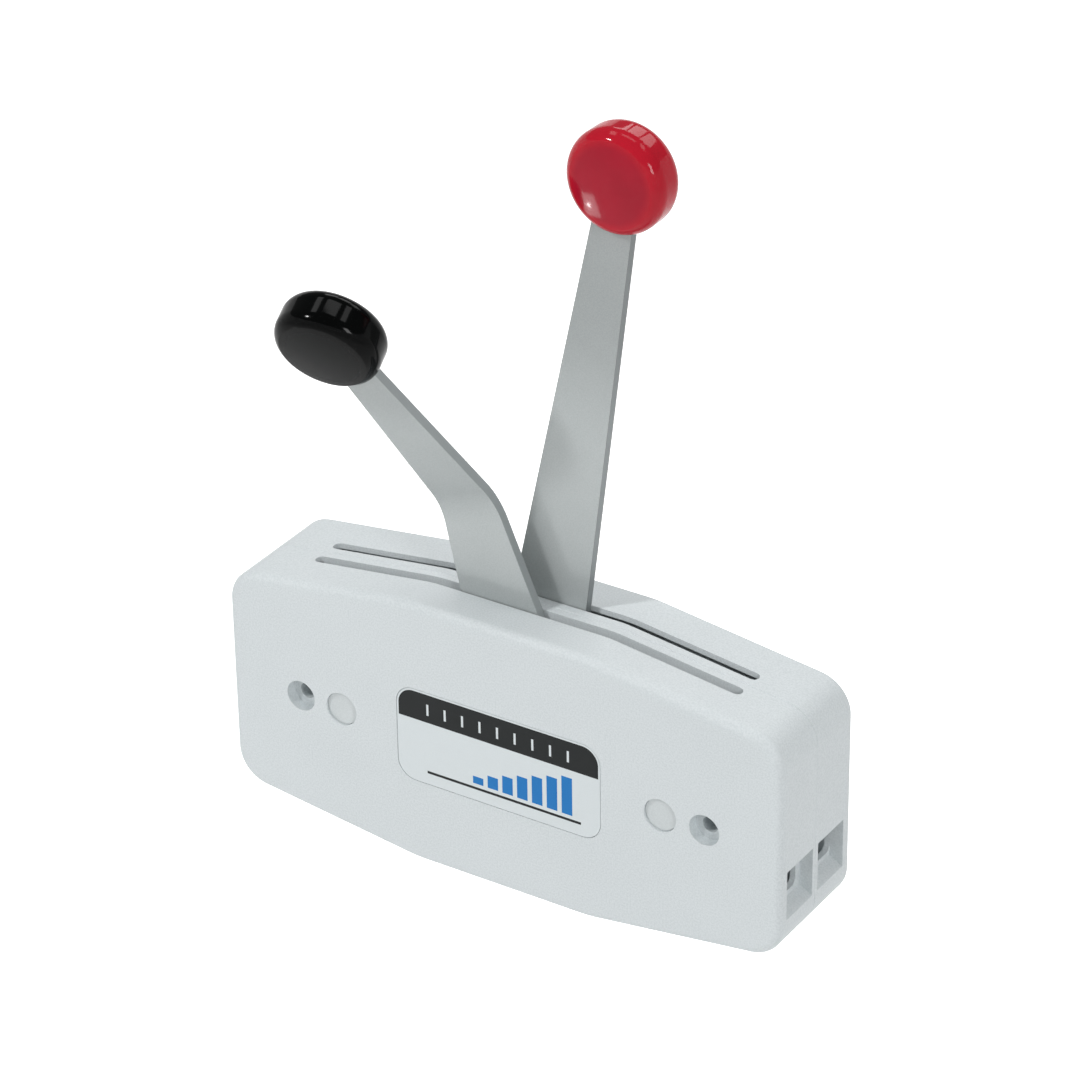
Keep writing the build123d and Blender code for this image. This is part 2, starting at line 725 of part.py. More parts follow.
with BuildPart() as thrust_washers:
    for side in (FRONT, REAR):
        add(ring(side, disc_outer, thrust_washer_thickness, thrust_washer, shaft_hole))
save(thrust_washers.part, "thrust_washers")

save(make_strap(FRONT), "front_cable_strap")
save(make_strap(REAR), "rear_cable_strap")

with BuildPart() as strap_screws:
    for side in (FRONT, REAR):
        for gap in clamp_screw_gaps:
            top = Plane.XY.offset(cable_height + strap_thickness)
            with BuildSketch(top):
                with Locations((saddle_end - saddle_length / 2, -(middle + side * gap))):
                    Circle(clamp_screw / 2)
            extrude(amount=-clamp_screw_length + loose_clearance)
            with BuildSketch(top):
                with Locations((saddle_end - saddle_length / 2, -(middle + side * gap))):
                    Circle(clamp_screw_head / 2)
            extrude(amount=clamp_screw_head_height)
save(strap_screws.part, "strap_screws")

for lever in (shift, throttle):
    save(make_lever(lever), f"{lever.name}_lever")
    save(make_bush(lever), f"{lever.name}_bush")
    save(make_knob(lever), f"{lever.name}_knob")
    save(make_pin(lever), f"{lever.name}_cable_pin")
    save(make_clip(lever), f"{lever.name}_pin_clip")
    save(make_rod_end(lever), f"{lever.name}_rod_end")
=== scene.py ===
"""Looks of a side-mount twin-lever boat control: its two turned knobs, and every finish and light."""
from __future__ import annotations

import json
import logging
import math
from dataclasses import dataclass, field
from enum import Enum

import bpy
import numpy as np
from mathutils import Matrix, Vector


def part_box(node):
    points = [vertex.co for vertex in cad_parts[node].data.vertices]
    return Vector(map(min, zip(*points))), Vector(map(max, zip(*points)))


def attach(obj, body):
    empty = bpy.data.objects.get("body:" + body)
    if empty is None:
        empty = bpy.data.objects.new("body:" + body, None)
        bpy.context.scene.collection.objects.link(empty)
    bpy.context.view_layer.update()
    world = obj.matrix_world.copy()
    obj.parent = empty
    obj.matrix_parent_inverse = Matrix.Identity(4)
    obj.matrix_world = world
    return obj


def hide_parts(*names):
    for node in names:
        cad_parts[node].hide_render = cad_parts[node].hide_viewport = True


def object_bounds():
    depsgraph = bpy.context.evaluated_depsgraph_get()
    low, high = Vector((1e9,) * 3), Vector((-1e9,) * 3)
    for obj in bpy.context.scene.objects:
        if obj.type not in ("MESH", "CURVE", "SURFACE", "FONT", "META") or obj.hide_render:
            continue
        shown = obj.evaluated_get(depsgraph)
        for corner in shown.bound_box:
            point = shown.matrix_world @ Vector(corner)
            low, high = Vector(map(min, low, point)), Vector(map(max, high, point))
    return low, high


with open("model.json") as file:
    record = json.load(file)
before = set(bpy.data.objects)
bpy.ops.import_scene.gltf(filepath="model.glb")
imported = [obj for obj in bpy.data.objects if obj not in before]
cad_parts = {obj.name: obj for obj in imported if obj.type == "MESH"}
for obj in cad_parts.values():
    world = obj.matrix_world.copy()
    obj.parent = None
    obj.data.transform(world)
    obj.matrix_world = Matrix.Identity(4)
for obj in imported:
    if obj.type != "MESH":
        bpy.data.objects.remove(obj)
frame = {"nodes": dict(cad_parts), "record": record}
cad_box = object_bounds()

log = logging.getLogger("boat_control")
MM = 0.001
# Sockets of a Mix node that blends colours: the colour shown at 0, the colour shown at 1, and the result
LOW, HIGH, BLEND = 6, 7, 2
BEVEL_SAMPLES = 6


class Lever(Enum):
    """The two hand levers, by the names their nodes start with."""

    SHIFT = "shift"
    THROTTLE = "throttle"


def linear(hex_colour: str) -> tuple[float, float, float, float]:
    """Turn an sRGB hex colour into linear light: a straight toe for the darkest values, a power curve above.

    Args:
        hex_colour: six hex digits, red first.

    Returns:
        Linear red, green and blue, with an alpha of 1.
    """
    channels = [int(hex_colour[place:place + 2], 16) / 255 for place in (0, 2, 4)]
    light = [c / 12.92 if c <= 0.04045 else ((c + 0.055) / 1.055) ** 2.4 for c in channels]
    return light[0], light[1], light[2], 1.0


def add_node(tree: bpy.types.NodeTree, kind: str, inputs: dict | None = None,
             **settings: str | int | bool) -> bpy.types.Node:
    """Add one node with its settings, values and links.

    Args:
        tree: the node tree of a material or of the world.
        kind: the node's type name.
        inputs: input name or number to a value, or to the socket that feeds it.
        settings: the node's own properties.

    Returns:
        The new node.
    """
    made = tree.nodes.new(kind)
    for name, value in settings.items():
        setattr(made, name, value)
    for key, value in (inputs or {}).items():
        if isinstance(value, bpy.types.NodeSocket):
            tree.links.new(value, made.inputs[key])
        else:
            made.inputs[key].default_value = value
    return made


def add_object(name: str, data: bpy.types.ID) -> bpy.types.Object:
    """Put a mesh, lamp or camera into the scene, at the origin.

    Args:
        name: the object's name.
        data: what it shows.

    Returns:
        The object.
    """
    made = bpy.data.objects.new(name, data)
    bpy.context.scene.collection.objects.link(made)
    return made


def new_material(name: str) -> tuple[bpy.types.Material, bpy.types.NodeTree, bpy.types.NodeSocket]:
    """Start an empty node material.

    Args:
        name: what the material really is.

    Returns:
        The material, its node tree, and the Object coordinates that its patterns follow.
    """
    material = bpy.data.materials.new(name)
    material.use_nodes = True
    material.node_tree.nodes.clear()
    place = add_node(material.node_tree, "ShaderNodeTexCoord").outputs["Object"]
    return material, material.node_tree, place


def worked_skin(tree: bpy.types.NodeTree, colour: bpy.types.NodeSocket, pattern: bpy.types.NodeSocket, *,
                depth_mm: float, strength: float, edge_mm: float, roughness: float, spread: float,
                constants: dict[str, float]) -> None:
    """Close a material whose one fine pattern both dents the surface and makes its gloss uneven.

    The normal is that of softly rounded edges, pushed by the pattern. Roughness rises evenly with the pattern,
    from its middle value less the spread to its middle value plus the spread.

    Args:
        tree: the material's node tree.
        colour: the surface's colour.
        pattern: the fine pattern, from 0 to 1.
        depth_mm: depth of the dents.
        strength: how strongly the dents show.
        edge_mm: radius that sharp edges are rounded to.
        roughness: the middle roughness.
        spread: how far roughness strays from its middle.
        constants: shader values that are the same all over the surface.
    """
    rounded = add_node(tree, "ShaderNodeBevel", {"Radius": edge_mm * MM}, samples=BEVEL_SAMPLES)
    dents = add_node(tree, "ShaderNodeBump", {"Height": pattern, "Strength": strength,
                                              "Distance": depth_mm * MM, "Normal": rounded.outputs["Normal"]})
    gloss = add_node(tree, "ShaderNodeMapRange", {"Value": pattern, "To Min": roughness - spread,
                                                  "To Max": roughness + spread})
    shader = add_node(tree, "ShaderNodeBsdfPrincipled",
                      {"Base Color": colour, "Roughness": gloss.outputs[0], "Normal": dents.outputs[0],
                       **constants})
    add_node(tree, "ShaderNodeOutputMaterial", {"Surface": shader.outputs[0]})


@dataclass(frozen=True)
class MouldedPlastic:
    """Plastic from a spark-eroded mould: its fine grain breaks every highlight into a soft, even sheen."""

    name: str
    shade: str
    fleck: str
    roughness: float
    grain_mm: float
    grain_depth_mm: float
    edge_mm: float = 0.35
    flow_mm: float = 45.0
    flow_share: float = 0.35
    dent_strength: float = 0.6
    gloss_spread: float = 0.06
    specular: float = 0.3

    def material(self) -> bpy.types.Material:
        """Build the material: a fine noise tints and dents the surface, a slow one makes its colour uneven.

        Returns:
            The material.
        """
        material, tree, place = new_material(self.name)
        # The real grain is about 0.1 mm and would not show, so it is drawn coarser
        grain = add_node(tree, "ShaderNodeTexNoise",
                         {"Vector": place, "Scale": 1 / (self.grain_mm * MM), "Detail": 3.0,
                          "Roughness": 0.6}).outputs["Fac"]
        flow = add_node(tree, "ShaderNodeTexNoise",
                        {"Vector": place, "Scale": 1 / (self.flow_mm * MM), "Detail": 2.0}).outputs["Fac"]
        speckle = add_node(tree, "ShaderNodeMapRange", {"Value": grain, "From Min": 0.36, "From Max": 0.66})
        drift = add_node(tree, "ShaderNodeMath", {0: flow, 1: self.flow_share}, operation="MULTIPLY")
        amount = add_node(tree, "ShaderNodeMath", {0: speckle.outputs[0], 1: drift.outputs[0]},
                          operation="ADD", use_clamp=True)
        colour = add_node(tree, "ShaderNodeMix",
                          {"Factor": amount.outputs[0], LOW: linear(self.shade), HIGH: linear(self.fleck)},
                          data_type="RGBA")
        worked_skin(tree, colour.outputs[BLEND], grain, depth_mm=self.grain_depth_mm,
                    strength=self.dent_strength, edge_mm=self.edge_mm, roughness=self.roughness,
                    spread=self.gloss_spread, constants={"Specular IOR Level": self.specular})
        return material


@dataclass(frozen=True)
class GlossMoulding:
    """Polished phenolic knob: deep colour under a hard gloss on the rim, and faces with a gloss of their own.

    The piece's own attribute "crown" is 1 on the faces and 0 on the rim. The rim and face colours are painted
    light: one phenolic, shown brighter on the red knob's rim and paler on the black knob's faces, for how light
    falls on each.
    """

    name: str
    rim_shade: str
    face_shade: str
    rim_roughness: float
    face_roughness: float
    specular: float
    wave_mm: float = 16.0
    wave_depth_mm: float = 0.06
    wave_strength: float = 0.25
    wave_shade: float = 0.15
    wiping_mm: float = 0.5
    wiping_dullness: float = 0.06

    def material(self) -> bpy.types.Material:
        """Build the material: slow waves under the gloss, fine wiping marks where hands dull it.

        Returns:
            The material.
        """
        material, tree, place = new_material(self.name)
        crown = add_node(tree, "ShaderNodeAttribute", attribute_name="crown").outputs["Fac"]
        waves = add_node(tree, "ShaderNodeTexNoise",
                         {"Vector": place, "Scale": 1 / (self.wave_mm * MM), "Detail": 2.0}).outputs["Fac"]
        # Wiping marks are finer than 0.1 mm, drawn coarser so that they show
        wiping = add_node(tree, "ShaderNodeTexNoise",
                          {"Vector": place, "Scale": 1 / (self.wiping_mm * MM), "Detail": 4.0}).outputs["Fac"]
        # Painted light: rim and faces of one phenolic take two colours, lighter or darker for how light falls
        # on each
        painted_light_mix = add_node(tree, "ShaderNodeMix",
                         {"Factor": crown, LOW: linear(self.rim_shade), HIGH: linear(self.face_shade)},
                         data_type="RGBA")
        shaded = add_node(tree, "ShaderNodeMapRange",
                          {"Value": waves, "To Min": 1 - self.wave_shade, "To Max": 1 + self.wave_shade})
        colour = add_node(tree, "ShaderNodeVectorMath",
                          {0: painted_light_mix.outputs[BLEND], "Scale": shaded.outputs[0]}, operation="SCALE")
        satin = add_node(tree, "ShaderNodeMapRange",
                         {"Value": crown, "To Min": self.rim_roughness, "To Max": self.face_roughness})
        dulled = add_node(tree, "ShaderNodeMapRange",
                          {"Value": wiping, "From Min": 0.45, "From Max": 0.75, "To Min": 0.0,
                           "To Max": self.wiping_dullness})
        gloss = add_node(tree, "ShaderNodeMath", {0: satin.outputs[0], 1: dulled.outputs[0]},
                         operation="ADD")
        dents = add_node(tree, "ShaderNodeBump", {"Height": waves, "Strength": self.wave_strength,
                                                  "Distance": self.wave_depth_mm * MM})
        shader = add_node(tree, "ShaderNodeBsdfPrincipled",
                          {"Base Color": colour.outputs[0], "Roughness": gloss.outputs[0],
                           "Specular IOR Level": self.specular, "Normal": dents.outputs[0]})
        add_node(tree, "ShaderNodeOutputMaterial", {"Surface": shader.outputs[0]})
        return material


@dataclass(frozen=True)
class WorkedMetal:
    """Metal with a worked skin, turned or tempered, told apart by the size of its marks and their stretch."""

    name: str
    shade: str
    dark_shade: str
    metallic: float
    roughness: float
    mark_mm: float
    stretch: tuple[float, float, float] = (1.0, 1.0, 1.0)
    mark_depth_mm: float = 0.01
    mark_share: float = 0.7
    plain_share: float = 0.15
    stain_mm: float = 30.0
    stain_share: float = 0.3
    dent_strength: float = 0.5
    gloss_spread: float = 0.08
    edge_mm: float = 0.25

    def material(self) -> bpy.types.Material:
        """Build the material: marks from a noise stretched along the working direction, and slow stains.

        Returns:
            The material.
        """
        material, tree, place = new_material(self.name)
        # Real marks are finer than 0.1 mm and would not show, so they are drawn coarser
        laid = add_node(tree, "ShaderNodeMapping", {"Vector": place, "Scale": self.stretch})
        marks = add_node(tree, "ShaderNodeTexNoise",
                         {"Vector": laid.outputs[0], "Scale": 1 / (self.mark_mm * MM), "Detail": 4.0,
                          "Roughness": 0.65}).outputs["Fac"]
        stain = add_node(tree, "ShaderNodeTexNoise",
                         {"Vector": place, "Scale": 1 / (self.stain_mm * MM), "Detail": 3.0}).outputs["Fac"]
        contrast = add_node(tree, "ShaderNodeMapRange", {"Value": marks, "From Min": 0.3, "From Max": 0.7})
        toned = add_node(tree, "ShaderNodeMath",
                         {0: contrast.outputs[0], 1: self.mark_share, 2: self.plain_share},
                         operation="MULTIPLY_ADD")
        drift = add_node(tree, "ShaderNodeMath", {0: stain, 1: self.stain_share, 2: toned.outputs[0]},
                         operation="MULTIPLY_ADD", use_clamp=True)
        colour = add_node(tree, "ShaderNodeMix",
                          {"Factor": drift.outputs[0], LOW: linear(self.dark_shade), HIGH: linear(self.shade)},
                          data_type="RGBA")
        worked_skin(tree, colour.outputs[BLEND], marks, depth_mm=self.mark_depth_mm,
                    strength=self.dent_strength, edge_mm=self.edge_mm, roughness=self.roughness,
                    spread=self.gloss_spread, constants={"Metallic": self.metallic})
        return material


@dataclass(frozen=True)
class PressedBlade:
    """Blade blanked from aluminium strip, bead-blasted and anodised: even matt faces, and sheared edges painted
    a colour of their own for how light falls on them.

    Painted shade darkens the blade below its knob, as shade under the knob. Its colour is multiplied by the
    knob shade share up to the near distance from the knob's middle, and left as it is from the far distance on.
    """

    name: str = "Bead-blasted anodised aluminium"
    shade: str = "B1B6B6"
    dark_shade: str = "A1A7A7"
    edge_shade: str = "848A8B"
    worn_share: float = 0.77
    worn_near_mm: float = 60.0
    worn_far_mm: float = 120.0
    metallic: float = 0.3
    roughness: float = 0.5
    blast_mm: float = 0.6
    blast_depth_mm: float = 0.03
    blast_share: float = 0.65
    stain_mm: float = 22.0
    stain_share: float = 0.5
    dent_strength: float = 0.5
    gloss_spread: float = 0.07
    edge_mm: float = 0.35

    def material(self, knob: Vector) -> bpy.types.Material:
        """Build the material: blasting dimples, slow stains, and edges told from faces by their normal.

        Args:
            knob: the middle of the blade's knob, in metres.

        Returns:
            The material.
        """
        material, tree, place = new_material(self.name)
        # Blasting leaves dimples of about 0.1 mm, drawn coarser so that they show
        blast = add_node(tree, "ShaderNodeTexNoise",
                         {"Vector": place, "Scale": 1 / (self.blast_mm * MM), "Detail": 3.0,
                          "Roughness": 0.6}).outputs["Fac"]
        stain = add_node(tree, "ShaderNodeTexNoise",
                         {"Vector": place, "Scale": 1 / (self.stain_mm * MM), "Detail": 3.0}).outputs["Fac"]
        contrast = add_node(tree, "ShaderNodeMapRange", {"Value": blast, "From Min": 0.36, "From Max": 0.66})
        toned = add_node(tree, "ShaderNodeMath", {0: contrast.outputs[0], 1: self.blast_share, 2: 0.0},
                         operation="MULTIPLY_ADD")
        drift = add_node(tree, "ShaderNodeMath", {0: stain, 1: self.stain_share, 2: toned.outputs[0]},
                         operation="MULTIPLY_ADD", use_clamp=True)
        face = add_node(tree, "ShaderNodeMix",
                        {"Factor": drift.outputs[0], LOW: linear(self.dark_shade), HIGH: linear(self.shade)},
                        data_type="RGBA")
        # The faces look along Y, so the sideways part of the normal is near 1 only on the sheared edges
        facing = add_node(tree, "ShaderNodeSeparateXYZ",
                          {0: add_node(tree, "ShaderNodeTexCoord").outputs["Normal"]})
        sideways = add_node(tree, "ShaderNodeMath", {0: facing.outputs["X"]}, operation="ABSOLUTE")
        edge = add_node(tree, "ShaderNodeMapRange",
                        {"Value": sideways.outputs[0], "From Min": 0.5, "From Max": 0.75})
        # Painted shade on the side faces: darker on the throttle lever, where less light falls, and paler on
        # the shift lever, where light falls on them
        painted_light_mix = add_node(tree, "ShaderNodeMix",
                         {"Factor": edge.outputs[0], LOW: face.outputs[BLEND], HIGH: linear(self.edge_shade)},
                         data_type="RGBA")
        # Painted shade: the blade is darkened towards its knob, as shade under the knob
        reach = add_node(tree, "ShaderNodeVectorMath", {0: place, 1: knob}, operation="DISTANCE")
        knob_shade = add_node(tree, "ShaderNodeMapRange",
                        {"Value": reach.outputs["Value"], "From Min": self.worn_near_mm * MM,
                         "From Max": self.worn_far_mm * MM, "To Min": self.worn_share, "To Max": 1.0},
                        interpolation_type="SMOOTHSTEP")
        colour = add_node(tree, "ShaderNodeVectorMath",
                          {0: painted_light_mix.outputs[BLEND], "Scale": knob_shade.outputs[0]}, operation="SCALE")
        worked_skin(tree, colour.outputs[0], blast, depth_mm=self.blast_depth_mm,
                    strength=self.dent_strength, edge_mm=self.edge_mm, roughness=self.roughness,
                    spread=self.gloss_spread, constants={"Metallic": self.metallic})
        return material


def between(name: str, value: str, low: float, high: float | str) -> list[tuple]:
    """Steps of a print that give 1 where a value lies between two limits, and 0 elsewhere.

    Args:
        name: name of the result.
        value: name of the value.
        low: lower limit.
        high: upper limit, or the name of the step that gives it.

    Returns:
        The steps, each with its name, its operation and its values.
    """
    over, under = f"{name}, over", f"{name}, under"
    return [(over, "GREATER_THAN", value, low), (under, "LESS_THAN", value, high),
            (name, "MULTIPLY", over, under)]


@dataclass(frozen=True)
class PrintedFilm:
    """Screen-printed polyester film: flat opaque inks under a satin clear layer.

    The print is a plain load gauge: a dark band with tick marks along the top, a row of upright bars that rise
    to the right, and a thin base line. Sizes are in millimetres from the middle of the label.
    """

    name: str = "Screen-printed polyester film"
    ground: str = "D9E0E2"
    ground_low: str = "D2D9DB"
    dark_ink: str = "0C1112"
    blue_ink: str = "1F78BE"
    blue_low: str = "1B70B4"
    roughness: float = 0.5
    specular: float = 0.2
    ink_grain: float = 0.6
    edge: float = 0.2
    half_length: float = 48.0
    half_height: float = 21.5
    corner: float = 8.25
    margin: float = 0.8
    band_bottom: float = 7.6
    tick_pitch: float = 8.3
    tick_reach: float = 4.2
    tick_half_width: float = 0.5
    tick_bottom: float = 11.0
    tick_top: float = 16.2
    bar_count: int = 7
    bar_pitch: float = 7.0
    bar_half_width: float = 2.5
    bar_start: float = -13.0
    bar_low: float = 3.4
    bar_rise: float = 2.35
    bar_gap: float = 2.2
    base_line: float = -15.8
    base_left: float = -34.0
    base_right: float = 39.0
    line_half: float = 0.6

    def steps(self, centre_mm: tuple[float, float]) -> list[tuple]:
        """List the sums that make the print, where 1 stands for inside a shape.

        A point is in the printed field, a rounded rectangle, where it lies less than the corner's radius from
        the box of the corners' middles. Ticks stand where a zig-zag of their pitch is near 0. Bars stand in
        cells of their pitch, and the cell's number sets how high its bar rises.

        Args:
            centre_mm: the label's middle along X and Z.

        Returns:
            Each step's name, its operation, and its values, where a text names an earlier step.
        """
        corner = self.corner - self.margin
        bar_foot = self.base_line + self.bar_gap
        # The zig-zag is counted from a hundred pitches to the left, so that it is above 0 all over the label
        far_left = 100 * self.tick_pitch
        return [
            ("along", "MULTIPLY_ADD", "x", 1 / MM, -centre_mm[0]),
            ("above", "MULTIPLY_ADD", "z", 1 / MM, -centre_mm[1]),
            ("either side", "ABSOLUTE", "along"),
            ("past side", "SUBTRACT", "either side", self.half_length - self.margin - corner),
            ("over side", "MAXIMUM", "past side", 0.0),
            ("over or under", "ABSOLUTE", "above"),
            ("past top", "SUBTRACT", "over or under", self.half_height - self.margin - corner),
            ("over top", "MAXIMUM", "past top", 0.0),
            ("side square", "POWER", "over side", 2.0),
            ("top square", "POWER", "over top", 2.0),
            ("square", "ADD", "side square", "top square"),
            ("reach", "SQRT", "square"),
            ("field", "LESS_THAN", "reach", corner),
            ("high", "GREATER_THAN", "above", self.band_bottom),
            ("band", "MULTIPLY", "field", "high"),
            ("from left", "ADD", "along", far_left),
            ("tick cell", "PINGPONG", "from left", self.tick_pitch / 2),
            ("tick width", "LESS_THAN", "tick cell", self.tick_half_width),
            *between("tick height", "above", self.tick_bottom, self.tick_top),
            *between("tick row", "along", -self.tick_reach * self.tick_pitch,
                     self.tick_reach * self.tick_pitch),
            ("tick box", "MULTIPLY", "tick height", "tick row"),
            ("ticks", "MULTIPLY", "tick width", "tick box"),
            ("from first bar", "SUBTRACT", "along", self.bar_start),
            ("cells", "DIVIDE", "from first bar", self.bar_pitch),
            ("cell", "FLOOR", "cells"),
            ("in cell", "FRACT", "cells"),
            ("off middle", "SUBTRACT", "in cell", 0.5),
            ("aside", "ABSOLUTE", "off middle"),
            ("bar width", "LESS_THAN", "aside", self.bar_half_width / self.bar_pitch),
            ("bar top", "MULTIPLY_ADD", "cell", self.bar_rise, bar_foot + self.bar_low),
            *between("bar row", "cell", -0.5, self.bar_count - 0.5),
            *between("bar height", "above", bar_foot, "bar top"),
            ("bar box", "MULTIPLY", "bar row", "bar height"),
            ("bars", "MULTIPLY", "bar width", "bar box"),
            *between("line height", "above", self.base_line - self.line_half,
                     self.base_line + self.line_half),
            *between("line length", "along", self.base_left, self.base_right),
            ("line", "MULTIPLY", "line height", "line length"),
            ("no tick", "SUBTRACT", 1.0, "ticks"),
            ("open band", "MULTIPLY", "band", "no tick"),
            ("dark", "MAXIMUM", "open band", "line"),
        ]

    def material(self, centre_mm: tuple[float, float]) -> bpy.types.Material:
        """Build the material: the print's sums choose between the ground, the blue ink and the dark ink.

        Args:
            centre_mm: the label's middle along X and Z.

        Returns:
            The material.
        """
        material, tree, place = new_material(self.name)
        spot = add_node(tree, "ShaderNodeSeparateXYZ", {0: place})
        found = {"x": spot.outputs["X"], "z": spot.outputs["Z"]}
        for name, operation, *values in self.steps(centre_mm):
            inputs = {number: found[value] if isinstance(value, str) else value
                      for number, value in enumerate(values)}
            found[name] = add_node(tree, "ShaderNodeMath", inputs, operation=operation).outputs[0]
        # Ink lies unevenly at the scale of the screen's mesh, about 0.1 mm, drawn coarser so that it shows
        mesh = add_node(tree, "ShaderNodeTexNoise",
                        {"Vector": place, "Scale": 1 / (self.ink_grain * MM), "Detail": 2.0}).outputs["Fac"]
        paper, blue = (add_node(tree, "ShaderNodeMix", {"Factor": mesh, LOW: linear(low), HIGH: linear(high)},
                                data_type="RGBA").outputs[BLEND]
                       for low, high in ((self.ground_low, self.ground), (self.blue_low, self.blue_ink)))
        colour = paper
        for shape, ink in (("bars", blue), ("dark", linear(self.dark_ink))):
            colour = add_node(tree, "ShaderNodeMix", {"Factor": found[shape], LOW: colour, HIGH: ink},
                              data_type="RGBA").outputs[BLEND]
        rounded = add_node(tree, "ShaderNodeBevel", {"Radius": self.edge * MM}, samples=BEVEL_SAMPLES)
        shader = add_node(tree, "ShaderNodeBsdfPrincipled",
                          {"Base Color": colour, "Roughness": self.roughness,
                           "Specular IOR Level": self.specular, "Normal": rounded.outputs["Normal"]})
        add_node(tree, "ShaderNodeOutputMaterial", {"Surface": shader.outputs[0]})
        return material


def swept_rings(profile: np.ndarray, side: Vector, across: Vector, axis: Vector, steps: int) -> np.ndarray:
    """Carry a profile round an axis.

    A profile point of radius r and height h, turned by an angle, lies at r times (side times the cosine plus
    across times the sine) plus h times the axis.

    Args:
        profile: rows of radius and height.
        side: unit direction of angle 0.
        across: unit direction of a quarter turn.
        axis: unit direction of rising height.
        steps: points around.

    Returns:
        A ring of points for each profile row.
    """
    angle = np.linspace(0, 2 * math.pi, steps, endpoint=False)
    circle = np.cos(angle)[:, None] * np.array(side) + np.sin(angle)[:, None] * np.array(across)
    return profile[:, :1, None] * circle + profile[:, 1:, None] * np.array(axis)


def ring_quads(rings: int, steps: int, first: int = 0) -> np.ndarray:
    """Join each point of a stack of rings to the next one round, and to the same two a ring on.

    Args:
        rings: number of rings.
        steps: points in a ring.
        first: number of the first ring's first point.

    Returns:
        Rows of four corners.
    """
    row, column = np.meshgrid(np.arange(rings - 1), np.arange(steps), indexing="ij")
    here, beside = first + row * steps + column, first + row * steps + (column + 1) % steps
    return np.stack([here, beside, beside + steps, here + steps], axis=-1).reshape(-1, 4)


def smooth_mesh(name: str, corners: np.ndarray, faces: list[list[int]]) -> bpy.types.Mesh:
    """Make a smooth-shaded mesh.

    Args:
        name: the mesh's name.
        corners: rows of X, Y and Z in metres.
        faces: the corners of each face.

    Returns:
        The mesh.
    """
    mesh = bpy.data.meshes.new(name)
    mesh.from_pydata(corners.tolist(), [], faces)
    mesh.polygons.foreach_set("use_smooth", np.ones(len(mesh.polygons), dtype=bool))
    return mesh


def turned_piece(name: str, profile: np.ndarray, crown: np.ndarray, centre: Vector, axis: Vector, steps: int,
                 body: str, material: bpy.types.Material) -> bpy.types.Object:
    """Turn a profile about an axis into a closed, smooth-shaded piece that rides on a body.

    The rings are those of swept_rings. The first and last profile points lie on the axis and become one corner
    each, the middle of a fan of triangles.

    Args:
        name: the piece's name.
        profile: rows of radius and height in metres, by rising height.
        crown: a value for each profile row, kept as the attribute "crown".
        centre: the point of the axis where height is 0.
        axis: unit direction of rising height.
        steps: points around.
        body: the body that it rides on.
        material: its finish.

    Returns:
        The piece.
    """
    side = axis.orthogonal().normalized()
    rings = swept_rings(profile[1:-1], side, axis.cross(side), axis, steps)
    poles = profile[[0, -1], 1:] * np.array(axis)
    corners = np.concatenate([poles, rings.reshape(-1, 3)]) + np.array(centre)
    first = len(poles) + np.arange(steps)
    last = first + (len(rings) - 1) * steps
    low_fan = np.stack([np.zeros(steps, dtype=int), np.roll(first, -1), first], axis=-1)
    high_fan = np.stack([np.ones(steps, dtype=int), last, np.roll(last, -1)], axis=-1)
    quads = ring_quads(len(rings), steps, len(poles))
    mesh = smooth_mesh(name, corners, low_fan.tolist() + high_fan.tolist() + quads.tolist())
    mesh.attributes.new("crown", "FLOAT", "POINT").data.foreach_set(
        "value", np.concatenate([crown[[0, -1]], np.repeat(crown[1:-1], steps)]))
    mesh.update()
    piece = add_object(name, mesh)
    piece.data.materials.append(material)
    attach(piece, body)
    log.info("%s: %d faces on %s", name, len(mesh.polygons), body)
    return piece


def arc(centre: tuple[float, float], radius: float, start: float, end: float, steps: int) -> np.ndarray:
    """Points of an arc in the profile plane: the centre plus the radius times the cosine and the sine.

    Args:
        centre: radius and height of the arc's centre, in millimetres.
        radius: the arc's radius, in millimetres.
        start: first angle, in degrees from the radius direction.
        end: last angle, in degrees.
        steps: number of points.

    Returns:
        Rows of radius and height.
    """
    angle = np.radians(np.linspace(start, end, steps))
    return np.stack([centre[0] + radius * np.cos(angle), centre[1] + radius * np.sin(angle)], axis=1)


